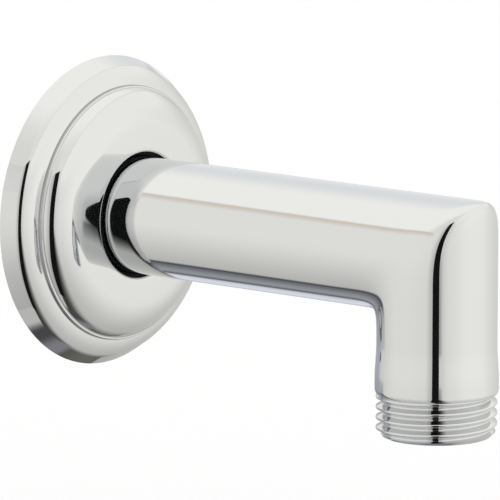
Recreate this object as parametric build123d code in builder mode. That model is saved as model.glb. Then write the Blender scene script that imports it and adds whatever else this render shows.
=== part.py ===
"""Wall outlet elbow for a shower hose: a mitred brass elbow on a wall nipple, with a sliding
stepped escutcheon and a non-return valve in the outlet.

Millimetres. The wall is the plane x = 0 and the origin lies there on the axis of the arm.
The arm points along +X, +Z is up and the outlet points along -Z.
"""
import os
from math import acos, asin, atan2, cos, degrees, hypot, radians, sin, sqrt

from build123d import *

os.makedirs("parts", exist_ok=True)

# Pipe threads, drawn plain at their outside diameter
thread_radius = 10.4775
outlet_thread_length = 7.0
outlet_chamfer = 1.0
wall_thread_length = 13.0
wall_thread_chamfer = 1.0

# Elbow, outside
projection = 76.0
drop = 31.2
arm_proud = 0.0225
arm_draw = 0.1
mitre_round = 2.0
mitre_straight = 1.6
arm_back = 1.0
arm_back_chamfer = 0.5
collar_proud = 0.2125
collar_height = 4.2
collar_round = 1.2

# Elbow, waterways and seats
socket_wall = 2.5
socket_depth = 22.0
socket_chamfer = 0.8
outlet_wall = 2.9775
valve_stop = 1.5
valve_bore_depth = 16.6
valve_bore_chamfer = 0.4

# Connecting nipple
nipple_clearance = 0.05
nipple_length = 21.0
nipple_chamfer = 0.8
nipple_wall = 3.4
hex_ledge = 0.4
hex_depth = 6.0
nipple_ring_section = 1.6
nipple_ring_fit = 0.01
nipple_groove_width = 2.1
rear_groove_x = 9.5
front_groove_x = 13.0

# Grub screw that locks the elbow on the nipple
grub_x = 5.0
grub_radius = 2.0
grub_fit = 0.03
grub_recess = 0.4
grub_point_radius = 1.3
grub_point_length = 1.0
grub_groove_depth = 0.9
grub_groove_width = 3.0
grub_hex_across_flats = 2.0
grub_hex_depth = 1.4
grub_chamfer = 0.3

# Escutcheon
plate_radius = 27.9
rim_spread = 5.83
rim_crest = 4.53
rim_roll = 5.0
step_radius = 22.95
step_front = 5.25
disc_radius = 23.4
disc_roll = 7.5
face_front = 9.23
face_dome = 65.0
face_angle = 4.0
hole_gap = 0.7
hole_round = 0.8
lip_thickness = 1.0
rim_wall = 2.4
rim_depth = 2.7
rim_inset = 3.5
disc_wall = 2.9
face_wall = 3.6
boss_wall = 0.95
boss_ring_wall = 3.0

# O-ring that grips the arm inside the escutcheon
plate_ring_section = 2.4
plate_ring_grip_clearance = 0.04
plate_ring_seat_gap = 0.02
plate_groove_play = 0.1

# Non-return valve in the outlet
valve_fit = 0.05
valve_recess = 1.0
valve_wall = 1.5
seat_width = 1.6
valve_inlet_chamfer = 0.8
seat_depth = 5.4
chamber_length = 6.2
valve_ring_section = 1.5
valve_ring_fit = 0.01
valve_groove_width = 2.0
valve_groove_depth = 3.4
guide_ledge = 0.4
guide_fit = 0.04
guide_height = 1.8
guide_rim_width = 0.9
guide_hub_radius = 2.3
guide_spokes = 4
guide_spoke_width = 1.2
snap_height = 0.6
snap_inset = 0.2
snap_play = 0.1
plunger_gap = 0.7
plunger_disc = 1.1
plunger_nose_gap = 0.8
plunger_nose_height = 2.6
plunger_nose_tip = 0.9
plunger_nose_slope = 0.6
stem_radius = 1.2
stem_clearance = 0.05
stem_overrun = 0.2
seal_width = 0.9
seal_height = 0.6
seal_proud = 0.25
seat_gap = 0.05
seal_fit = 0.02
spring_wire_radius = 0.22
spring_radius = 1.75
spring_turns = 5
spring_end_gap = 0.05

# Sizes and places that follow from the ones above
arm_root_radius = thread_radius + arm_proud
neck_radius = arm_root_radius - arm_draw
collar_radius = thread_radius + collar_proud
socket_radius = arm_root_radius - socket_wall
valve_bore_radius = thread_radius - outlet_wall
water_radius = valve_bore_radius - valve_stop
nipple_bore_radius = socket_radius - nipple_wall
hole_radius = arm_root_radius + hole_gap
chamber_radius = valve_bore_radius - valve_wall
valve_inlet_radius = chamber_radius - seat_width
guide_radius = chamber_radius + guide_ledge
plunger_radius = chamber_radius - plunger_gap
plunger_nose_radius = valve_inlet_radius - plunger_nose_gap
corner_reach = neck_radius + mitre_round + mitre_straight
arm_end = projection - corner_reach
collar_top = outlet_thread_length + collar_height
outlet_end = -drop
leg_axis = Axis((projection, 0, 0), (0, 0, 1))
leg_plane = Plane((projection, 0, 0), x_dir=(1, 0, 0), z_dir=(0, -1, 0))
socket_end = arm_back + socket_depth
spigot_radius = socket_radius - nipple_clearance
groove_floor = socket_radius - nipple_ring_section - 2 * nipple_ring_fit
grub_floor = spigot_radius - grub_groove_depth
plate_ring_inside = arm_root_radius + plate_ring_grip_clearance
plate_ring_radius = plate_ring_inside + plate_ring_section / 2
plate_groove_radius = plate_ring_radius + plate_ring_section / 2 + plate_ring_seat_gap
plate_groove_front = face_front - lip_thickness
plate_groove_back = plate_groove_front - plate_ring_section - plate_groove_play
valve_top = outlet_end + valve_bore_depth
valve_bottom = outlet_end + valve_recess
valve_radius = valve_bore_radius - valve_fit
seat_z = valve_top - seat_depth
guide_top = seat_z - chamber_length
guide_bottom = guide_top - guide_height
plunger_top = seat_z - seat_gap - seal_proud
plunger_bottom = plunger_top - plunger_disc
valve_ring_z = valve_top - valve_groove_depth


def ring_section(radius, section, centre):
    """Sketch a round ring section at a radius from X, on the XZ plane."""
    with BuildSketch(Plane.XZ) as ring:
        with Locations((centre, radius)):
            Circle(section / 2)
    return ring.sketch


# Elbow body: brass, one piece, polished and chromed
with BuildPart() as elbow_body:
    # The mitred corner: the tilted section moves along the bend without turning
    mitre_run = corner_reach + 2 * neck_radius
    mitre_normal = (-1, 0, 1)
    with BuildLine(leg_plane) as bend:
        FilletPolyline((0, -mitre_run), (0, 0), (-mitre_run, 0), radius=mitre_round)
    with BuildSketch(Plane((projection, 0, -mitre_run), x_dir=(1, 0, 1), z_dir=mitre_normal)):
        Ellipse(neck_radius * sqrt(2), neck_radius)
    sweep(path=bend.line, normal=mitre_normal)
    split(bisect_by=Plane((projection, 0, -corner_reach), z_dir=(0, 0, 1)), keep=Keep.TOP)
    split(bisect_by=Plane((arm_end, 0, 0), z_dir=(1, 0, 0)), keep=Keep.TOP)
    # The arm, drawn down slightly towards the corner
    with BuildSketch(Plane.XZ):
        with BuildLine():
            Polyline(
                (arm_back, 0),
                (arm_back, arm_root_radius - arm_back_chamfer),
                (arm_back + arm_back_chamfer, arm_root_radius),
                (arm_end, neck_radius),
                (arm_end, 0),
                close=True,
            )
        make_face()
    revolve(axis=Axis.X)
    # The leg: it flares to a collar with a rounded foot above the outlet thread
    with BuildSketch(leg_plane) as leg_half:
        with BuildLine():
            flare_start = (neck_radius, -corner_reach)
            flare_end = (collar_radius, outlet_end + collar_top)
            collar_foot = (collar_radius, outlet_end + outlet_thread_length)
            Line((0, -corner_reach), flare_start)
            Spline(flare_start, flare_end, tangents=[(0, -1), (0, -1)])
            Polyline(
                flare_end,
                collar_foot,
                (0, outlet_end + outlet_thread_length),
                (0, -corner_reach),
            )
        make_face()
        fillet(leg_half.vertices().sort_by_distance(collar_foot)[0], radius=collar_round)
    revolve(axis=leg_axis)
    # The outlet thread, plain at its outside diameter
    with BuildSketch(leg_plane):
        with BuildLine():
            Polyline(
                (0, outlet_end),
                (thread_radius - outlet_chamfer, outlet_end),
                (thread_radius, outlet_end + outlet_chamfer),
                (thread_radius, outlet_end + outlet_thread_length),
                (0, outlet_end + outlet_thread_length),
                close=True,
            )
        make_face()
    revolve(axis=leg_axis)
    # Socket for the nipple and the waterway along the arm
    with BuildSketch(Plane.XZ):
        with BuildLine():
            Polyline(
                (arm_back, 0),
                (arm_back, socket_radius + socket_chamfer),
                (arm_back + socket_chamfer, socket_radius),
                (socket_end, socket_radius),
                (socket_end, water_radius),
                (projection + water_radius, water_radius),
                (projection + water_radius, 0),
                close=True,
            )
        make_face()
    revolve(axis=Axis.X, mode=Mode.SUBTRACT)
    # Waterway down the leg and the bore for the non-return valve
    with BuildSketch(leg_plane):
        with BuildLine():
            Polyline(
                (0, 0),
                (water_radius, 0),
                (water_radius, valve_top),
                (valve_bore_radius, valve_top),
                (valve_bore_radius, outlet_end + valve_bore_chamfer),
                (valve_bore_radius + valve_bore_chamfer, outlet_end),
                (0, outlet_end),
                close=True,
            )
        make_face()
    revolve(axis=leg_axis, mode=Mode.SUBTRACT)
    # Tapped hole for the grub screw, from below
    with BuildSketch(Plane((grub_x, 0, 0), z_dir=(0, 0, -1))):
        Circle(grub_radius + grub_fit)
    extrude(amount=2 * arm_root_radius, mode=Mode.SUBTRACT)

elbow_body.part.label = "elbow_body"
export_step(elbow_body.part, "parts/elbow_body.step")

# Connecting nipple: turned brass, screwed into the wall by the hexagon inside its front end
with BuildPart() as connecting_nipple:
    with BuildSketch(Plane.XZ):
        with BuildLine():
            Polyline(
                (-wall_thread_length, nipple_bore_radius),
                (-wall_thread_length, thread_radius - wall_thread_chamfer),
                (-wall_thread_length + wall_thread_chamfer, thread_radius),
                (0, thread_radius),
                (0, spigot_radius),
                (nipple_length - nipple_chamfer, spigot_radius),
                (nipple_length, spigot_radius - nipple_chamfer),
                (nipple_length, nipple_bore_radius),
                close=True,
            )
        make_face()
    revolve(axis=Axis.X)
    # Ring grooves, and the groove that takes the point of the grub screw
    grooves = [
        (rear_groove_x, nipple_groove_width, groove_floor),
        (front_groove_x, nipple_groove_width, groove_floor),
        (grub_x, grub_groove_width, grub_floor),
    ]
    for groove_x, groove_width, floor_radius in grooves:
        with BuildSketch(Plane.YZ.offset(groove_x - groove_width / 2)):
            Circle(socket_radius)
            Circle(floor_radius, mode=Mode.SUBTRACT)
        extrude(amount=groove_width, mode=Mode.SUBTRACT)
    with BuildSketch(Plane.YZ.offset(nipple_length)):
        RegularPolygon(nipple_bore_radius + hex_ledge, side_count=6, major_radius=False)
    extrude(amount=-hex_depth, mode=Mode.SUBTRACT)

connecting_nipple.part.label = "connecting_nipple"
export_step(connecting_nipple.part, "parts/connecting_nipple.step")

# Two O-rings that seal the nipple in its socket
nipple_ring_radius = socket_radius - nipple_ring_fit - nipple_ring_section / 2
for ring_name, ring_x in (("rear", rear_groove_x), ("front", front_groove_x)):
    with BuildPart() as nipple_o_ring:
        add(ring_section(nipple_ring_radius, nipple_ring_section, ring_x))
        revolve(axis=Axis.X)
    nipple_o_ring.part.label = f"nipple_o_ring_{ring_name}"
    export_step(nipple_o_ring.part, f"parts/nipple_o_ring_{ring_name}.step")

# Grub screw: steel, hexagon socket and dog point, in the underside of the arm
with BuildPart() as grub_screw:
    grub_head = arm_root_radius - grub_recess
    grub_tip = grub_floor + grub_fit
    grub_axis = Axis((grub_x, 0, 0), (0, 0, 1))
    with BuildSketch(Plane((grub_x, 0, 0), x_dir=(1, 0, 0), z_dir=(0, 1, 0))):
        with BuildLine():
            Polyline(
                (0, grub_head),
                (grub_radius - grub_chamfer, grub_head),
                (grub_radius, grub_head - grub_chamfer),
                (grub_radius, grub_tip + grub_point_length),
                (grub_point_radius, grub_tip + grub_point_length),
                (grub_point_radius, grub_tip),
                (0, grub_tip),
                close=True,
            )
        make_face()
    revolve(axis=grub_axis)
    with BuildSketch(Plane((grub_x, 0, -grub_head), z_dir=(0, 0, 1))):
        RegularPolygon(grub_hex_across_flats / 2, side_count=6, major_radius=False)
    extrude(amount=grub_hex_depth, mode=Mode.SUBTRACT)

grub_screw.part.label = "grub_screw"
export_step(grub_screw.part, "parts/grub_screw.step")

# Escutcheon: turned brass shell, a domed disc with a rolled edge above a small square step, on a
# rim that rolls into a cone
with BuildPart() as escutcheon:
    # The dome and the disc's roll share their normal where they meet, at the face angle
    lean = radians(face_angle)
    roll_centre_radius = disc_radius - disc_roll
    dome_crest_radius = roll_centre_radius - (face_dome - disc_roll) * sin(lean)
    roll_start = face_front - face_dome + (face_dome - disc_roll) * cos(lean)
    face_turn = face_angle - degrees(asin((hole_radius - dome_crest_radius) / face_dome))
    # The rim's outside is a cone that runs from its back edge into the roll
    rim_back = rim_roll - rim_crest
    rim_angle = atan2(rim_spread, rim_back) - acos(rim_roll / hypot(rim_spread, rim_back))
    rim_touch = (
        rim_roll * cos(rim_angle) - rim_back,
        plate_radius - rim_spread + rim_roll * sin(rim_angle),
    )
    rim_inside = plate_radius - rim_wall
    disc_inside = disc_radius - disc_wall
    disc_ceiling = face_front - face_wall
    boss_radius = plate_groove_radius + boss_ring_wall
    boss_back = plate_groove_back - boss_wall
    with BuildSketch(Plane.XZ) as plate_half:
        with BuildLine():
            rim_line = Line((0, plate_radius), rim_touch)
            rim_arc = JernArc(rim_line @ 1, rim_line % 1, rim_roll, -degrees(rim_angle))
            Polyline(rim_arc @ 1, (rim_crest, hole_radius), (0, hole_radius), (0, plate_radius))
        make_face()
        with BuildLine():
            roll_arc = JernArc((roll_start, disc_radius), (1, 0), disc_roll, face_angle - 90)
            face_arc = JernArc(roll_arc @ 1, roll_arc % 1, face_dome, -face_turn)
            Polyline(face_arc @ 1, (roll_start, hole_radius), (roll_start, disc_radius))
        make_face()
        with BuildLine():
            Polyline(
                (0, hole_radius),
                (0, step_radius),
                (step_front, step_radius),
                (step_front, hole_radius),
                close=True,
            )
        make_face()
        fillet(plate_half.vertices().sort_by_distance(face_arc @ 1)[0], radius=hole_round)
        # The hollow back, around the boss that holds the O-ring
        with BuildLine():
            Polyline(
                (0, hole_radius),
                (0, rim_inside),
                (rim_depth, rim_inside - rim_inset),
                (rim_depth, disc_inside),
                (disc_ceiling, disc_inside),
                (disc_ceiling, boss_radius),
                (boss_back, boss_radius),
                (boss_back, hole_radius),
                close=True,
            )
        make_face(mode=Mode.SUBTRACT)
        with BuildLine():
            Polyline(
                (plate_groove_front, hole_radius),
                (plate_groove_front, plate_groove_radius),
                (plate_groove_back, plate_groove_radius),
                (plate_groove_back, hole_radius),
                close=True,
            )
        make_face(mode=Mode.SUBTRACT)
    revolve(axis=Axis.X)

escutcheon.part.label = "escutcheon"
export_step(escutcheon.part, "parts/escutcheon.step")

# O-ring in the escutcheon, which grips the arm and shows as the black ring around it
with BuildPart() as escutcheon_o_ring:
    ring_centre = (plate_groove_front + plate_groove_back) / 2
    add(ring_section(plate_ring_radius, plate_ring_section, ring_centre))
    revolve(axis=Axis.X)

escutcheon_o_ring.part.label = "escutcheon_o_ring"
export_step(escutcheon_o_ring.part, "parts/escutcheon_o_ring.step")

# Non-return valve housing: moulded plastic sleeve with the valve seat inside
with BuildPart() as check_valve_housing:
    guide_seat_radius = guide_radius + guide_fit
    snap_top = guide_bottom - snap_play
    snap_bottom = snap_top - snap_height
    valve_groove_floor = valve_bore_radius - valve_ring_section - 2 * valve_ring_fit
    with BuildSketch(leg_plane):
        with BuildLine():
            Polyline(
                (valve_inlet_radius + valve_inlet_chamfer, valve_top),
                (valve_radius, valve_top),
                (valve_radius, valve_ring_z + valve_groove_width / 2),
                (valve_groove_floor, valve_ring_z + valve_groove_width / 2),
                (valve_groove_floor, valve_ring_z - valve_groove_width / 2),
                (valve_radius, valve_ring_z - valve_groove_width / 2),
                (valve_radius, valve_bottom),
                (guide_seat_radius, valve_bottom),
                (guide_seat_radius, snap_bottom),
                (guide_seat_radius - snap_inset, (snap_top + snap_bottom) / 2),
                (guide_seat_radius, snap_top),
                (guide_seat_radius, guide_top),
                (chamber_radius, guide_top),
                (chamber_radius, seat_z),
                (valve_inlet_radius, seat_z),
                (valve_inlet_radius, valve_top - valve_inlet_chamfer),
                close=True,
            )
        make_face()
    revolve(axis=leg_axis)

check_valve_housing.part.label = "check_valve_housing"
export_step(check_valve_housing.part, "parts/check_valve_housing.step")

# O-ring around the valve housing
with BuildPart() as check_valve_o_ring:
    with BuildSketch(leg_plane):
        with Locations((valve_bore_radius - valve_ring_fit - valve_ring_section / 2, valve_ring_z)):
            Circle(valve_ring_section / 2)
    revolve(axis=leg_axis)

check_valve_o_ring.part.label = "check_valve_o_ring"
export_step(check_valve_o_ring.part, "parts/check_valve_o_ring.step")

# Valve guide: a spider snapped into the housing, which carries the plunger's stem and the spring
with BuildPart() as check_valve_guide:
    with BuildSketch(Plane((projection, 0, guide_bottom))):
        Circle(guide_radius)
        Circle(guide_radius - guide_rim_width, mode=Mode.SUBTRACT)
        spoke_length = guide_radius - guide_rim_width / 2
        with PolarLocations(spoke_length / 2, guide_spokes):
            Rectangle(spoke_length, guide_spoke_width)
        Circle(guide_hub_radius)
        Circle(stem_radius + stem_clearance, mode=Mode.SUBTRACT)
    extrude(amount=guide_height)

check_valve_guide.part.label = "check_valve_guide"
export_step(check_valve_guide.part, "parts/check_valve_guide.step")

# Valve plunger: streamlined nose, disc and guided stem
with BuildPart() as check_valve_plunger:
    stem_end = guide_bottom - stem_overrun
    seal_outside = plunger_radius
    seal_inside = seal_outside - seal_width
    seal_bottom = plunger_top + seal_proud - seal_height
    with BuildSketch(leg_plane):
        with BuildLine():
            nose_tip = (plunger_nose_tip, plunger_top + plunger_nose_height)
            nose_foot = (plunger_nose_radius, plunger_top)
            Polyline((0, stem_end), (0, nose_tip[1]), nose_tip)
            Spline(nose_tip, nose_foot, tangents=[(1, -plunger_nose_slope), (0, -1)])
            Polyline(
                nose_foot,
                (seal_inside - seal_fit, plunger_top),
                (seal_inside - seal_fit, seal_bottom),
                (plunger_radius, seal_bottom),
                (plunger_radius, plunger_bottom),
                (stem_radius, plunger_bottom),
                (stem_radius, stem_end),
                (0, stem_end),
            )
        make_face()
    revolve(axis=leg_axis)

check_valve_plunger.part.label = "check_valve_plunger"
export_step(check_valve_plunger.part, "parts/check_valve_plunger.step")

# Valve seal: rubber ring on the plunger's disc that meets the seat
with BuildPart() as check_valve_seal:
    with BuildSketch(Plane((projection, 0, seal_bottom))):
        Circle(seal_outside)
        Circle(seal_inside, mode=Mode.SUBTRACT)
    extrude(amount=seal_height)

check_valve_seal.part.label = "check_valve_seal"
export_step(check_valve_seal.part, "parts/check_valve_seal.step")

# Valve spring: steel wire between the guide's hub and the plunger's disc
with BuildPart() as check_valve_spring:
    coil_bottom = guide_top + spring_end_gap + spring_wire_radius
    coil_height = plunger_bottom - spring_end_gap - spring_wire_radius - coil_bottom
    with BuildLine() as coil:
        Helix(coil_height / spring_turns, coil_height, spring_radius, center=(projection, 0, coil_bottom))
    with BuildSketch(Plane(coil.line @ 0, z_dir=coil.line % 0)):
        Circle(spring_wire_radius)
    sweep(path=coil.line, is_frenet=True)

check_valve_spring.part.label = "check_valve_spring"
export_step(check_valve_spring.part, "parts/check_valve_spring.step")
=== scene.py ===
"""Wall outlet elbow for a shower hose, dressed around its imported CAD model.

Lengths are written in millimetres and scaled to metres when a mesh is finished.
The wall is the plane x = 0, the arm points along +X and the outlet along -Z.
"""
import math

import bmesh
import bpy
from mathutils import Matrix, Vector


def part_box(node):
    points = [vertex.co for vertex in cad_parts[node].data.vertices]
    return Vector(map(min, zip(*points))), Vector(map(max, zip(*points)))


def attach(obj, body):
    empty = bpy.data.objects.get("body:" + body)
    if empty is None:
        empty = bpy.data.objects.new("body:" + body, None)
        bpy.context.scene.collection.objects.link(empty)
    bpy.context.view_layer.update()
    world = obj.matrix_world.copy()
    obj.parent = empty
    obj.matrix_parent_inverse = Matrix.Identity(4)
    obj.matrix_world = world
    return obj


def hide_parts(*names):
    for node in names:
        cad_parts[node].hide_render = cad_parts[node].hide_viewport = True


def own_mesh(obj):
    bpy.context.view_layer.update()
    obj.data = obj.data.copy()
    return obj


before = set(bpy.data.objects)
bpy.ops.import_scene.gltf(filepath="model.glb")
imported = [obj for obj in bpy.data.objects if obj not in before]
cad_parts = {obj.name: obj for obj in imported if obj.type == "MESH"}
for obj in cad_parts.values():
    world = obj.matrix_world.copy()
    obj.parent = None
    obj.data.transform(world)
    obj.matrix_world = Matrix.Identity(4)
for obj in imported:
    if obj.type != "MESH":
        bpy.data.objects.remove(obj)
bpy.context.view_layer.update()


# Elbow body: arm, mitred bend, leg and threaded outlet in one piece of brass, turned and drawn,
# then polished and chrome plated. It is pushed on to the wall nipple and locked by a grub screw.
class Shade:
    """A socket of a node tree. Sums on it add Math nodes, and node() adds any other node."""

    def __init__(self, tree, socket=None):
        self.tree = tree
        self.socket = socket

    def node(self, kind, settings, output, inputs):
        """Add a node, set it up, fill its sockets and return the named output."""
        made = self.tree.nodes.new(kind)
        for name, value in settings.items():
            setattr(made, name, value)
        for name, value in inputs.items():
            if isinstance(value, Shade):
                self.tree.links.new(value.socket, made.inputs[name])
            else:
                made.inputs[name].default_value = value
        return Shade(self.tree, made.outputs[output])

    def math(self, operation, first, second):
        return self.node("ShaderNodeMath", {"operation": operation}, 0, {0: first, 1: second})

    def __add__(self, other):
        return self.math("ADD", self, other)

    __radd__ = __add__

    def __sub__(self, other):
        return self.math("SUBTRACT", self, other)

    def __rsub__(self, other):
        return self.math("SUBTRACT", other, self)

    def __mul__(self, other):
        return self.math("MULTIPLY", self, other)

    __rmul__ = __mul__

    def __truediv__(self, other):
        return self.math("DIVIDE", self, other)


def surface(name, shader_inputs):
    """Make a material whose Principled shader takes what shader_inputs(shade) returns."""
    material = bpy.data.materials.new(name)
    material.use_nodes = True
    tree = material.node_tree
    tree.nodes.clear()
    shade = Shade(tree)
    shader = shade.node("ShaderNodeBsdfPrincipled", {}, "BSDF", shader_inputs(shade))
    output = tree.nodes.new("ShaderNodeOutputMaterial")
    tree.links.new(shader.socket, output.inputs["Surface"])
    return material


def noise(shade, scale, detail):
    """Noise in the piece's own place."""
    spot = shade.node("ShaderNodeTexCoord", {}, "Object", {})
    return shade.node("ShaderNodeTexNoise", {}, "Fac", {"Vector": spot, "Scale": scale, "Detail": detail})


def grow(bm, ring, move):
    """Extrude a ring of edges, move the new ring by a matrix and return it."""
    made = bmesh.ops.extrude_edge_only(bm, edges=ring)["geom"]
    fresh = {part for part in made if isinstance(part, bmesh.types.BMVert)}
    bmesh.ops.transform(bm, matrix=move, verts=list(fresh))
    edges = [part for part in made if isinstance(part, bmesh.types.BMEdge)]
    return [edge for edge in edges if fresh.issuperset(edge.verts)]


def turn(bm, ring, run, stations):
    """Grow a ring along a straight run through stations of distance and radius."""
    for (start, near), (end, far) in zip(stations, stations[1:]):
        spread = Matrix.Diagonal((1, far / near, far / near, 1))
        step = Matrix.Translation((end, 0, 0)) @ spread @ Matrix.Translation((-start, 0, 0))
        ring = grow(bm, ring, run @ step @ run.inverted())
    return ring


def mesh_of(bm, name):
    """Turn a finished bmesh into a mesh with its faces outwards."""
    bmesh.ops.remove_doubles(bm, verts=bm.verts, dist=1e-4)
    bmesh.ops.recalc_face_normals(bm, faces=bm.faces)
    mesh = bpy.data.meshes.new(name)
    bm.to_mesh(mesh)
    bm.free()
    return mesh


def combine(mesh, operation, other):
    """Join, cut or intersect a mesh with another one and return the result."""
    piece = bpy.data.objects.new(mesh.name, mesh)
    tool = bpy.data.objects.new(other.name, other)
    for thing in (piece, tool):
        bpy.context.scene.collection.objects.link(thing)
    step = piece.modifiers.new(operation, "BOOLEAN")
    step.operation = operation
    step.solver = "EXACT"
    step.object = tool
    drawn = piece.evaluated_get(bpy.context.evaluated_depsgraph_get())
    made = bpy.data.meshes.new_from_object(drawn)
    for thing in (piece, tool):
        bpy.data.objects.remove(thing)
    return made


def place(mesh, name, material, body, node):
    """Scale a mesh to metres, smooth it and put it on its body in place of its CAD node."""
    mesh.transform(Matrix.Scale(0.001, 4))
    mesh.shade_smooth()
    mesh.set_sharp_from_angle(angle=math.radians(32))
    mesh.materials.clear()
    mesh.materials.append(material)
    piece = bpy.data.objects.new(name, mesh)
    bpy.context.scene.collection.objects.link(piece)
    even = piece.modifiers.new("even", "WEIGHTED_NORMAL")
    even.keep_sharp = True
    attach(piece, body)
    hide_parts(node)
    return piece


def pipe_thread(run, start, end, crest, pitch, crest_place, chamfer):
    """A sleeve of right-hand pipe thread with flanks at 55 degrees, chamfered at its far end."""
    depth = 0.64 * pitch
    flank = depth * math.tan(math.radians(55 / 2))
    land = pitch / 4 - flank / 2
    turns = math.ceil((end - start) / pitch) + 3
    steps = 144
    sleeve_wall = 0.7
    sleeve_room = 0.02
    overrun = 1.0
    first = start - pitch * 1.5 + (crest_place - start) % pitch
    bm = bmesh.new()
    outline = [
        (-pitch / 2, crest - depth),
        (-land - flank, crest - depth),
        (-land, crest),
        (land, crest),
        (land + flank, crest - depth),
        (pitch / 2, crest - depth),
    ]
    verts = [bm.verts.new((first + along, 0, radius)) for along, radius in outline]
    for pair in zip(verts, verts[1:]):
        bm.edges.new(pair)
    bmesh.ops.bevel(
        bm, geom=verts[1:5], affect="VERTICES", offset=land * 0.8, segments=4, profile=0.5, material=-1
    )
    bmesh.ops.spin(
        bm,
        geom=bm.verts[:] + bm.edges[:],
        cent=(0, 0, 0),
        axis=(1, 0, 0),
        dvec=(pitch / steps, 0, 0),
        angle=2 * math.pi,
        steps=steps,
    )
    first_turn = bm.verts[:] + bm.edges[:] + bm.faces[:]
    for count in range(1, turns):
        copy = bmesh.ops.duplicate(bm, geom=first_turn)["geom"]
        verts = [part for part in copy if isinstance(part, bmesh.types.BMVert)]
        bmesh.ops.translate(bm, vec=(count * pitch, 0, 0), verts=verts)
    bmesh.ops.remove_doubles(bm, verts=bm.verts, dist=4e-3)
    for cut, side in ((start, -1), (end, 1)):
        whole = bm.verts[:] + bm.edges[:] + bm.faces[:]
        bmesh.ops.bisect_plane(
            bm, geom=whole, plane_co=(cut, 0, 0), plane_no=(side, 0, 0), clear_outer=True
        )
    bmesh.ops.holes_fill(bm, edges=bm.edges, sides=0)
    rod = mesh_of(bm, "rod")
    bm = bmesh.new()
    inside = crest - depth - sleeve_wall
    outside = crest + sleeve_room
    back = start - overrun
    bmesh.ops.create_circle(
        bm, segments=ring_sides, radius=inside, matrix=Matrix.Translation((back, 0, 0)) @ upright
    )
    turn(
        bm,
        bm.edges[:],
        Matrix.Identity(4),
        [
            (back, inside),
            (back, outside),
            (end - chamfer, outside),
            (end, crest - chamfer),
            (end, inside),
            (back, inside),
        ],
    )
    made = combine(rod, "INTERSECT", mesh_of(bm, "sleeve"))
    made.transform(run)
    return made


ring_sides = 192
arm = Matrix.Identity(4)
upright = Matrix.Rotation(math.radians(90), 4, "Y")
projection = 76.0
leg = Matrix.Translation((projection, 0, 0)) @ upright
arm_back = 1.0
arm_chamfer = 0.5
arm_root = 10.5
neck = 10.4
collar = 10.69
ridge_reach = 4.2
side_reach = 7.0
bend_steps = 32
arm_end = 58.0
leg_start = 15.1
flare_steps = 12
collar_top = 21.4
collar_foot = 24.2
collar_round = 1.2
outlet_end = 31.2
outlet_chamfer = 1.1
thread_crest = 10.4775
thread_root = 9.316
thread_pitch = 1.814
thread_start = 22.5
first_crest = 25.3
start_turn = math.radians(140)
socket = 8.0
socket_end = 23.0
socket_chamfer = 0.8
waterway = 6.0
valve_bore = 7.5
valve_chamfer = 0.4
valve_stop = 14.6
grub_place = 5.0
grub_radius = 2.03
grub_hole_middle = -9.5
grub_hole_depth = 5.0
# The band of the arm around the grub screw's hole, and how far the arm has drawn in at its end
band_start = 2.4
band_end = 8.2
band_draw = 0.01

bm = bmesh.new()
bmesh.ops.create_circle(
    bm,
    segments=ring_sides,
    radius=socket + socket_chamfer,
    matrix=Matrix.Translation((arm_back, 0, 0)) @ upright,
)
ring = turn(
    bm,
    bm.edges[:],
    arm,
    [
        (arm_back, socket + socket_chamfer),
        (arm_back, arm_root - arm_chamfer),
        (arm_back + arm_chamfer, arm_root),
        (band_start, arm_root),
        (band_end, arm_root - band_draw),
        (arm_end, neck),
    ],
)

# The mitre is rounded along curves that are short at the ridge and long at the sides
lean = Matrix(((1, 0, 1, projection - arm_end), (0, 1, 0, 0), (0, 0, 1, 0), (0, 0, 0, 1)))
pulls = [Vector((0, 0, 0))]
for step in range(bend_steps + 1):
    share = step / bend_steps
    pulls.append(Vector(((1 - share) ** 3, 0, share**3)))
for before, after in zip(pulls, pulls[1:]):
    ring = grow(bm, ring, lean)
    lean = Matrix.Identity(4)
    for vert in {vert for edge in ring for vert in edge.verts}:
        reach = ridge_reach + side_reach * (vert.co.y / neck) ** 2
        vert.co += reach * (before - after)
square = Matrix(((1, 0, 0, 0), (0, 1, 0, 0), (0, 0, 0, -leg_start), (0, 0, 0, 1)))
ring = grow(bm, ring, square)
flare = []
for count in range(flare_steps + 1):
    share = count / flare_steps
    ease = share * share * (3 - 2 * share)
    flare.append((leg_start + share * (collar_top - leg_start), neck + ease * (collar - neck)))
ring = turn(bm, ring, leg, flare)
foot = turn(bm, ring, leg, [(collar_top, collar), (collar_foot, collar)])
ring = turn(
    bm,
    foot,
    leg,
    [
        (collar_foot, collar),
        (collar_foot, thread_root),
        (outlet_end, thread_root),
        (outlet_end, valve_bore + valve_chamfer),
        (outlet_end - valve_chamfer, valve_bore),
        (valve_stop, valve_bore),
        (valve_stop, waterway),
    ],
)
into_mitre = Matrix(((1, 0, 0, 0), (0, 1, 0, 0), (1, 0, 1, valve_stop - projection), (0, 0, 0, 1)))
out_of_mitre = Matrix(((1, 0, -1, socket_end - projection), (0, 1, 0, 0), (0, 0, 1, 0), (0, 0, 0, 1)))
ring = grow(bm, ring, into_mitre)
ring = grow(bm, ring, out_of_mitre)
turn(
    bm,
    ring,
    arm,
    [
        (socket_end, waterway),
        (socket_end, socket),
        (arm_back + socket_chamfer, socket),
        (arm_back, socket + socket_chamfer),
    ],
)
bmesh.ops.bevel(
    bm, geom=foot, affect="EDGES", offset=collar_round, segments=12, profile=0.5, material=-1
)
elbow_mesh = mesh_of(bm, "elbow")

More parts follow.
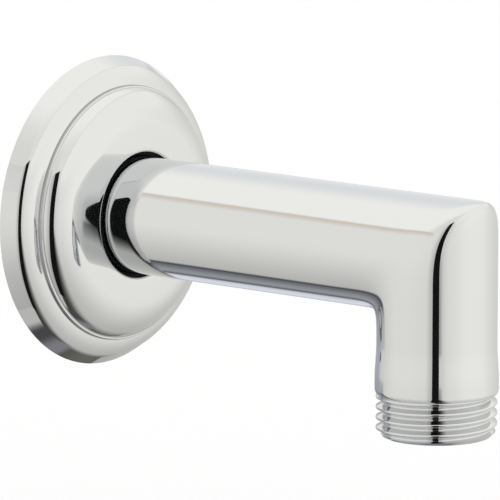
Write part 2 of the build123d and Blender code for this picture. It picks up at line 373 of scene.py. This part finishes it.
outlet_thread = pipe_thread(
    leg @ Matrix.Rotation(start_turn, 4, "X"),
    thread_start,
    outlet_end,
    thread_crest,
    thread_pitch,
    first_crest,
    outlet_chamfer,
)
elbow_mesh = combine(elbow_mesh, "UNION", outlet_thread)
bm = bmesh.new()
bmesh.ops.create_cone(
    bm,
    cap_ends=True,
    segments=48,
    radius1=grub_radius,
    radius2=grub_radius,
    depth=grub_hole_depth,
    matrix=Matrix.Translation((grub_place, 0, grub_hole_middle)),
)
elbow_mesh = combine(elbow_mesh, "DIFFERENCE", mesh_of(bm, "grub_hole"))


chrome_colour = (0.705, 0.72, 0.73, 1)


def chrome_inputs(shade):
    """Bright plate with a faint haze of polishing."""
    haze = noise(shade, 160.0, 4.0)
    return {"Base Color": chrome_colour, "Metallic": 1.0, "Roughness": 0.02 + 0.02 * haze}


chrome = surface("polished_chrome", chrome_inputs)
place(elbow_mesh, "chromed_elbow", chrome, "elbow", "elbow_body")


# Connecting nipple: turned from plain brass, with a pipe thread that screws into the wall, a spigot
# that the arm is pushed on to, and a hexagon inside its front end to turn it by.
wall_end = -13.0
wall_chamfer = 1.0
wall_thread_start = 0.5
wall_first_crest = 2.0
shoulder = 1.0
nipple_end = 21.0
nipple_chamfer = 0.8
nipple_bore = 4.6
spigot = 7.95
ring_groove = 6.38
grub_groove = 7.05
grooves = ((3.5, 6.5, grub_groove), (8.45, 10.55, ring_groove), (11.95, 14.05, ring_groove))
key_flat = 5.0
key_depth = 6.0
key_overrun = 1.0
stations = [
    (wall_end, nipple_bore),
    (wall_end, thread_root),
    (-shoulder, thread_root),
    (-shoulder, thread_crest),
    (0, thread_crest),
    (0, spigot),
]
for groove_start, groove_end, bed in grooves:
    stations += [(groove_start, spigot), (groove_start, bed), (groove_end, bed), (groove_end, spigot)]
stations += [
    (nipple_end - nipple_chamfer, spigot),
    (nipple_end, spigot - nipple_chamfer),
    (nipple_end, nipple_bore),
    (wall_end, nipple_bore),
]
bm = bmesh.new()
bmesh.ops.create_circle(
    bm, segments=96, radius=nipple_bore, matrix=Matrix.Translation((wall_end, 0, 0)) @ upright
)
turn(bm, bm.edges[:], arm, stations)
nipple_mesh = mesh_of(bm, "nipple")
wall_thread = pipe_thread(
    Matrix.Rotation(math.radians(180), 4, "Z"),
    wall_thread_start,
    -wall_end,
    thread_crest,
    thread_pitch,
    wall_first_crest,
    wall_chamfer,
)
nipple_mesh = combine(nipple_mesh, "UNION", wall_thread)
key_corner = key_flat / math.cos(math.radians(30))
bm = bmesh.new()
bmesh.ops.create_cone(
    bm,
    cap_ends=True,
    segments=6,
    radius1=key_corner,
    radius2=key_corner,
    depth=key_depth + key_overrun,
    matrix=Matrix.Translation((nipple_end + (key_overrun - key_depth) / 2, 0, 0)) @ upright,
)
nipple_mesh = combine(nipple_mesh, "DIFFERENCE", mesh_of(bm, "key_socket"))


def turned_marks(shade, across):
    """Fine marks of the lathe, stretched around a piece by the scales given along X, Y and Z."""
    spot = shade.node("ShaderNodeTexCoord", {}, "Object", {})
    drawn = shade.node(
        "ShaderNodeVectorMath", {"operation": "MULTIPLY"}, "Vector", {0: spot, 1: across}
    )
    return shade.node("ShaderNodeTexNoise", {}, "Fac", {"Vector": drawn, "Scale": 1.0, "Detail": 3.0})


def blended(amount, first, second):
    """A colour that goes from the first to the second as the amount goes from 0 to 1."""
    return amount.node("ShaderNodeMix", {"data_type": "RGBA"}, 2, {"Factor": amount, 6: first, 7: second})


def relief(height, strength, distance):
    """The normal of a surface that a fine height disturbs."""
    settings = {"Height": height, "Strength": strength, "Distance": distance}
    return height.node("ShaderNodeBump", {}, "Normal", settings)


def brass_inputs(shade):
    marks = turned_marks(shade, (7000.0, 130.0, 130.0))
    return {
        "Base Color": blended(marks, (0.72, 0.50, 0.20, 1), (0.82, 0.62, 0.29, 1)),
        "Metallic": 1.0,
        "Roughness": 0.2 + 0.14 * marks,
        "Normal": relief(marks, 0.2, 0.00002),
    }


brass = surface("bare_brass", brass_inputs)
place(nipple_mesh, "brass_nipple", brass, "elbow", "connecting_nipple")


# Grub screw: stainless steel with a hexagon socket, screwed into the underside of the arm so that
# its point locks the arm on the nipple. The CAD shape is kept and gets a drawn steel finish.
def dress(node, material):
    """Give a CAD node its finish."""
    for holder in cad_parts[node].material_slots:
        holder.material = material


def steel_inputs(shade):
    marks = turned_marks(shade, (900.0, 900.0, 5000.0))
    return {
        "Base Color": (0.62, 0.62, 0.63, 1),
        "Metallic": 1.0,
        "Roughness": 0.22 + 0.16 * marks,
        "Normal": relief(marks, 0.15, 0.00001),
    }


steel = surface("stainless_steel", steel_inputs)
dress("grub_screw", steel)


# Escutcheon: cover plate turned from brass, a domed disc with a rolled edge on a rolled rim, chromed
# like the elbow. It slides on the arm until its back edge meets the wall and hides the nipple.
def arc(bm, vert, centre, angle, steps):
    """Draw an arc on the plane y = 0 from a vertex about a centre and return its last vertex."""
    middle = (centre[0], 0, centre[1])
    made = bmesh.ops.spin(bm, geom=[vert], cent=middle, axis=(0, 1, 0), angle=angle, steps=steps)
    return made["geom_last"][0]


plate_radius = 27.9
rim_spread = 5.68
rim_crest = 4.66
rim_roll = 5.0
step_radius = 22.95
step_front = 5.25
foot_round = 0.25
step_round = 0.22
disc_radius = 23.4
disc_roll = 7.5
face_front = 9.23
face_dome = 142.0
face_angle = math.radians(2)
hole_radius = 11.2
hole_round = 0.8
groove_front = 8.23
groove_back = 5.73
groove_radius = 12.96
hub_back = 4.78
hub_radius = 15.96
web_back = 5.63
hollow_radius = 20.5
hollow_mouth = 2.7
mouth_radius = 22.0
back_radius = 25.5
dome_reach = face_dome - disc_roll
rim_centre = Vector((rim_crest - rim_roll, plate_radius - rim_spread))
rim_edge = Vector((0, plate_radius)) - rim_centre
rim_angle = math.atan2(rim_edge.y, rim_edge.x) - math.acos(rim_roll / rim_edge.length)
rim_touch = rim_centre + rim_roll * Vector((math.cos(rim_angle), math.sin(rim_angle)))
roll_front = face_front - face_dome + dome_reach * math.cos(face_angle)
roll_centre = Vector((roll_front, disc_radius - disc_roll))
dome_centre = roll_centre - dome_reach * Vector((math.cos(face_angle), math.sin(face_angle)))
rim_turn = rim_angle - math.asin((step_radius - rim_centre.y) / rim_roll)
roll_angle = math.acos((step_front - roll_centre.x) / disc_roll)
roll_start = roll_centre + disc_roll * Vector((math.cos(roll_angle), math.sin(roll_angle)))
face_turn = face_angle - math.asin((hole_radius - dome_centre.y) / face_dome)
bm = bmesh.new()
back_edge = bm.verts.new((0, 0, plate_radius))
roll_foot = bm.verts.new((rim_touch.x, 0, rim_touch.y))
step_foot = arc(bm, roll_foot, rim_centre, rim_turn, 24)
step_edge = bm.verts.new((step_front, 0, step_radius))
step_inside = bm.verts.new((step_front, 0, roll_start.y))
roll_end = arc(bm, step_inside, roll_centre, roll_angle - face_angle, 32)
hole_edge = arc(bm, roll_end, dome_centre, face_turn, 8)
inside = [
    (groove_front, hole_radius),
    (groove_front, groove_radius),
    (groove_back, groove_radius),
    (groove_back, hole_radius),
    (hub_back, hole_radius),
    (hub_back, hub_radius),
    (web_back, hub_radius),
    (web_back, hollow_radius),
    (hollow_mouth, hollow_radius),
    (hollow_mouth, mouth_radius),
    (0, back_radius),
]
back = [bm.verts.new((along, 0, radius)) for along, radius in inside]
for chain in ([hole_edge, *back, back_edge, roll_foot], [step_foot, step_edge, step_inside]):
    for pair in zip(chain, chain[1:]):
        bm.edges.new(pair)
for corners, size in (
    ([hole_edge], hole_round),
    ([step_foot], foot_round),
    ([step_edge, step_inside], step_round),
):
    bmesh.ops.bevel(
        bm, geom=corners, affect="VERTICES", offset=size, segments=10, profile=0.5, material=-1
    )
bmesh.ops.spin(
    bm,
    geom=bm.verts[:] + bm.edges[:],
    cent=(0, 0, 0),
    axis=(1, 0, 0),
    angle=2 * math.pi,
    steps=256,
    use_merge=True,
)


def part_way(low, high, value):
    """A smooth 0 to 1 as the value runs from low to high."""
    return value.node(
        "ShaderNodeMapRange",
        {"interpolation_type": "SMOOTHSTEP"},
        "Result",
        {"Value": value, "From Min": low, "From Max": high, "To Min": 0.0, "To Max": 1.0},
    )


def distance_along(vector, direction):
    """How far a vector runs along a direction."""
    ends = {0: vector, 1: direction}
    return vector.node("ShaderNodeVectorMath", {"operation": "DOT_PRODUCT"}, "Value", ends)


def plate_inputs(shade):
    """The elbow's chrome, with painted shade that darkens its colour in the corners of the step."""
    inputs = chrome_inputs(shade)
    spot = shade.node("ShaderNodeTexCoord", {}, "Object", {})
    scaled = shade.node(
        "ShaderNodeVectorMath", {"operation": "SCALE"}, "Vector", {0: spot, "Scale": 1000.0}
    )
    along = distance_along(scaled, (1, 0, 0))
    flat = shade.node(
        "ShaderNodeVectorMath", {"operation": "MULTIPLY"}, "Vector", {0: scaled, 1: (0, 1, 1)}
    )
    radius = shade.node("ShaderNodeVectorMath", {"operation": "LENGTH"}, "Value", {0: flat})
    # Painted shade: the base colour runs towards near-black close to each corner of the step
    painted_corner_shade = 0.0
    for depth, (corner_front, corner_radius), reach in (
        (0.62, (4.8, step_radius), 0.22),
        (0.4, (4.98, step_radius), 0.26),
        (0.5, (5.2, step_radius - 0.04), 0.16),
        (0.34, (5.28, roll_start.y), 0.16),
    ):
        off_front = along - corner_front
        off_radius = radius - corner_radius
        away = shade.math("SQRT", off_front * off_front + off_radius * off_radius, 0.0)
        painted_corner_shade = shade.math("MAXIMUM", painted_corner_shade, depth * part_way(reach, reach * 0.2, away))
    inputs["Base Color"] = blended(painted_corner_shade, chrome_colour, (0.05, 0.055, 0.06, 1))
    return inputs


place(
    mesh_of(bm, "plate"),
    "chromed_escutcheon",
    surface("plate_chrome", plate_inputs),
    "cover",
    "escutcheon",
)


# O-ring of the escutcheon: moulded black rubber in a groove behind the plate's hole.
# It grips the arm, keeps the plate against the wall and shows as the black line around the arm.
ring_section = 1.22
ring_place = Matrix.Translation((6.98, 0, 11.71))
on_edge = Matrix.Rotation(math.radians(90), 4, "X")
bm = bmesh.new()
bmesh.ops.create_circle(bm, segments=32, radius=ring_section, matrix=ring_place @ on_edge)
bmesh.ops.spin(
    bm,
    geom=bm.verts[:] + bm.edges[:],
    cent=(0, 0, 0),
    axis=(1, 0, 0),
    angle=2 * math.pi,
    steps=160,
    use_merge=True,
)


def rubber_inputs(shade):
    """Matt black with a fine moulded grain."""
    grain = noise(shade, 2600.0, 3.0)
    return {
        "Base Color": (0.013, 0.013, 0.014, 1),
        "Roughness": 0.6 + 0.2 * grain,
        "Specular IOR Level": 0.25,
        "Normal": relief(grain, 0.15, 0.00004),
    }


rubber = surface("black_rubber", rubber_inputs)
place(mesh_of(bm, "ring"), "escutcheon_ring", rubber, "cover", "escutcheon_o_ring")


# Non-return valve: a moulded plastic cartridge pushed into the outlet. A steel spring holds its
# plunger and rubber seal on the seat, and a blue spider snapped into its end guides the plunger.
def moulded(name, colour, pale):
    """Moulded acetal: a faint clouding in the colour and a fine satin grain."""

    def inputs(shade):
        cloud = noise(shade, 300.0, 3.0)
        grain = noise(shade, 6000.0, 2.0)
        return {
            "Base Color": blended(cloud, colour, pale),
            "Roughness": 0.34 + 0.16 * grain,
            "Normal": relief(grain, 0.12, 0.00002),
        }

    return surface(name, inputs)


white_plastic = moulded("white_plastic", (0.82, 0.82, 0.79, 1), (0.89, 0.89, 0.86, 1))
blue_plastic = moulded("blue_plastic", (0.10, 0.25, 0.51, 1), (0.14, 0.31, 0.58, 1))
dress("check_valve_housing", white_plastic)
dress("check_valve_plunger", white_plastic)
dress("check_valve_guide", blue_plastic)
for rubber_node in (
    "check_valve_o_ring",
    "check_valve_seal",
    "nipple_o_ring_rear",
    "nipple_o_ring_front",
):
    dress(rubber_node, rubber)

# The spring is wound in the room of its CAD node
spring_foot, spring_head = (corner[2] * 1000 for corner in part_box("check_valve_spring"))
spring_length = spring_head - spring_foot
spring_wire = 0.22
spring_radius = 1.75
spring_turns = 5
turn_steps = 40
wire_start = Matrix.Translation((projection + spring_radius, 0, spring_foot + spring_wire))
bm = bmesh.new()
bmesh.ops.create_circle(bm, segments=14, radius=spring_wire, matrix=wire_start @ on_edge)
bmesh.ops.spin(
    bm,
    geom=bm.verts[:] + bm.edges[:],
    cent=(projection, 0, 0),
    axis=(0, 0, 1),
    dvec=(0, 0, (spring_length - 2 * spring_wire) / (spring_turns * turn_steps)),
    angle=2 * math.pi * spring_turns,
    steps=spring_turns * turn_steps,
)
bmesh.ops.holes_fill(bm, edges=bm.edges, sides=0)
spring = place(
    mesh_of(bm, "spring"), "valve_spring", steel, "elbow", "check_valve_spring"
)
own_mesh(spring)


# Studio: a pale floor well below the part and a white light tent, seen only by the chrome, whose
# roof is brighter than its walls. A dark screen stands around the camera.
floor_level = -0.075
bm = bmesh.new()
bmesh.ops.create_grid(
    bm, x_segments=1, y_segments=1, size=3.0, matrix=Matrix.Translation((0, 0, floor_level))
)
floor_mesh = bpy.data.meshes.new("floor")
bm.to_mesh(floor_mesh)
bm.free()


def floor_inputs(shade):
    """Matt white, and seen from above only, so that the part shows from below as well."""
    under = shade.node("ShaderNodeNewGeometry", {}, "Backfacing", {})
    return {"Base Color": (1, 1, 1, 1), "Roughness": 0.9, "Alpha": 1 - under}


floor_mesh.materials.append(surface("floor", floor_inputs))
floor = bpy.data.objects.new("floor", floor_mesh)
bpy.context.scene.collection.objects.link(floor)
floor.visible_glossy = False

camera_place = Vector((0.648026, -0.730913, 0.161346))
camera_back = Vector((0.63377, -0.75455, 0.17027))
camera = bpy.data.objects.new("camera", bpy.data.cameras.new("camera"))
bpy.context.scene.collection.objects.link(camera)
camera.location = camera_place
camera.rotation_mode = "QUATERNION"
camera.rotation_quaternion = (-camera_back).to_track_quat("-Z", "Y")
camera.data.sensor_width = 36.0
camera.data.lens = 396.0
camera.data.clip_start = 0.01
camera.data.clip_end = 100.0
bpy.context.scene.camera = camera

# Directions as the camera's floor plan has them: towards it and to its right
front = Vector((camera_back.x, camera_back.y, 0)).normalized()
side = Vector((-front.y, front.x, 0))
screen_away = 1.0
screen_blur = -0.36
screen_left = -0.113
screen_right = 0.093
screen_foot = -2.2
screen_top = 0.636
screen_middle = front * screen_away + side * (screen_blur + screen_right) / 2
screen_middle.z = (screen_foot + screen_top) / 2
screen_face = Matrix((side, (0, 0, 1), front)).transposed().to_4x4()
screen_half = Matrix.Diagonal(((screen_right - screen_blur) / 2, (screen_top - screen_foot) / 2, 1, 1))
screen_place = Matrix.Translation(screen_middle) @ screen_face @ screen_half
bm = bmesh.new()
bmesh.ops.create_grid(bm, x_segments=1, y_segments=1, size=1.0, matrix=screen_place)
screen_mesh = bpy.data.meshes.new("screen")
bm.to_mesh(screen_mesh)
bm.free()


def screen_inputs(shade):
    """Black, with a soft left edge."""
    spot = shade.node("ShaderNodeTexCoord", {}, "Object", {})
    height = distance_along(spot, (0, 0, 1))
    across = distance_along(spot, side) + 0.07 * part_way(-0.1, -0.9, height)
    edge = part_way(screen_left - 0.005, screen_left, across)
    blur = 0.32 * part_way(screen_blur, screen_left, across)
    return {
        "Base Color": (0.01, 0.01, 0.01, 1),
        "Roughness": 1.0,
        "Specular IOR Level": 0.0,
        "Alpha": blur + edge * (1 - blur),
    }


screen_mesh.materials.append(surface("screen", screen_inputs))
screen = bpy.data.objects.new("screen", screen_mesh)
bpy.context.scene.collection.objects.link(screen)
screen.visible_camera = False
screen.visible_diffuse = False
screen.visible_shadow = False

world = bpy.data.worlds.new("studio")
bpy.context.scene.world = world
world.use_nodes = True
tree = world.node_tree
tree.nodes.clear()
sky = Shade(tree)


def bump(middle, reach, value):
    """A soft 0 to 1 to 0 around a middle value."""
    return part_way(middle - reach, middle, value) * part_way(middle + reach, middle, value)


def least(first, second):
    """The smaller of two values."""
    return sky.math("MINIMUM", first, second)


way = sky.node("ShaderNodeTexCoord", {}, "Generated", {})
toward = distance_along(way, front)
aside = distance_along(way, side)
rise = distance_along(way, (0, 0, 1))
around = sky.math("ARCTAN2", aside, toward) * (180 / math.pi)

# Walls: the right one is brighter, both darken towards the screen, the back and the floor
left_wall = 0.68 + 0.03 * part_way(-0.3, -0.9, aside)
right_wall = 0.58 + 0.12 * part_way(0.08, 0.35, aside) + 0.1 * part_way(0.3, 0.9, aside)
right_wall = right_wall + part_way(0.15, 0.5, rise) * part_way(0.03, 0.25, aside) * (0.79 - right_wall)
walls = left_wall + part_way(-0.02, 0.02, aside) * (right_wall - left_wall)
walls = walls - 0.14 * part_way(0.1, -0.8, toward) * part_way(0.5, 0.1, rise)
walls = walls * (1 - 0.34 * part_way(0.05, -1.0, rise))
behind = part_way(-0.6, -0.8, toward) * part_way(0.05, -0.1, aside)
behind_level = 0.36 + 0.26 * part_way(-0.3, -0.5, rise) + 0.3 * part_way(0.0, 0.15, rise)
walls = walls + behind * (behind_level - walls)
# Dark folds behind and below on the left
fold = part_way(-117.0, -123.0, around) * part_way(-164.0, -158.0, around)
fold = fold * part_way(-0.15, -0.25, rise)
fold_level = 0.125 + 0.15 * part_way(-124.0, -149.0, around) - 0.05 * bump(-124.0, 5.0, around)
fold_level = fold_level - 0.15 * bump(-158.0, 8.0, around)
walls = walls + fold * (fold_level - walls)
# Roof: it ends at the top edges of the walls, where the left one shows a warm seam
left_edge = rise + 0.84 * aside
right_edge = rise - 1.785 * aside - 0.262 * toward
roof = part_way(0.0, 0.02, least(left_edge, right_edge))
roof_level = 0.82 - (0.12 + 0.04 * part_way(0.02, -0.05, aside)) * part_way(0.2, 0.75, toward)
roof_back = part_way(-0.5, -0.9, toward)
roof_level = roof_level - 0.15 * roof_back
tent = walls + roof * (roof_level - walls)
seam = part_way(-0.2, -0.02, left_edge) * part_way(0.0, -0.03, left_edge) * part_way(0.8, 0.6, toward)
seam = seam * part_way(0.0, -0.1, aside)
tent = tent * (1 - 0.16 * seam) * (1 - 0.32 * bump(0.0, 0.022, right_edge) * part_way(0.02, 0.1, aside))
# Below the screen the dark runs on over the floor and widens to the right
dark_side = 0.13 + 0.21 * part_way(0.0, -0.7, rise)
dark = part_way(-7.5, -6.0, around) * part_way(dark_side, 0.06, aside)
dark_back = rise + 0.65 * part_way(0.05, -0.05, toward)
dark = dark * part_way(-0.1, -0.3, rise) * part_way(0.01, -0.01, dark_back)
dark_level = 0.008 + 0.04 * part_way(-0.5, -0.9, rise)
tent = tent + dark * (dark_level - tent)
# Directly below, the dark foot of the table
foot = part_way(-0.972, -0.997, rise + 0.15 * least(toward, 0.0))
foot_level = 0.06 + 0.13 * part_way(0.0, -0.2, toward)
tent = tent + foot * (foot_level - tent)

colour = blended(roof * roof_back, (1.02, 1, 0.957, 1), (0.98, 0.99, 1.0, 1))
colour = blended(seam, colour, (1.02, 0.9, 0.76, 1))
colour = blended(behind * part_way(0.2, -0.2, rise), colour, (0.95, 0.98, 1.11, 1))
colour = blended(fold, colour, (0.98, 1.0, 1.07, 1))
colour = blended(dark * part_way(-0.3, -0.8, rise), colour, (1, 1, 0.85, 1))
colour = blended(foot, colour, (1, 0.97, 1.05, 1))
path = sky.node("ShaderNodeLightPath", {}, "Is Glossy Ray", {})
chrome_level = chrome_colour[1]
level = path * tent / chrome_level + (1 - path)
shown = blended(path, (1, 1, 1, 1), colour)
background = sky.node("ShaderNodeBackground", {}, 0, {"Color": shown, "Strength": level})
output = tree.nodes.new("ShaderNodeOutputWorld")
tree.links.new(background.socket, output.inputs["Surface"])

bpy.context.scene.view_settings.view_transform = "Standard"
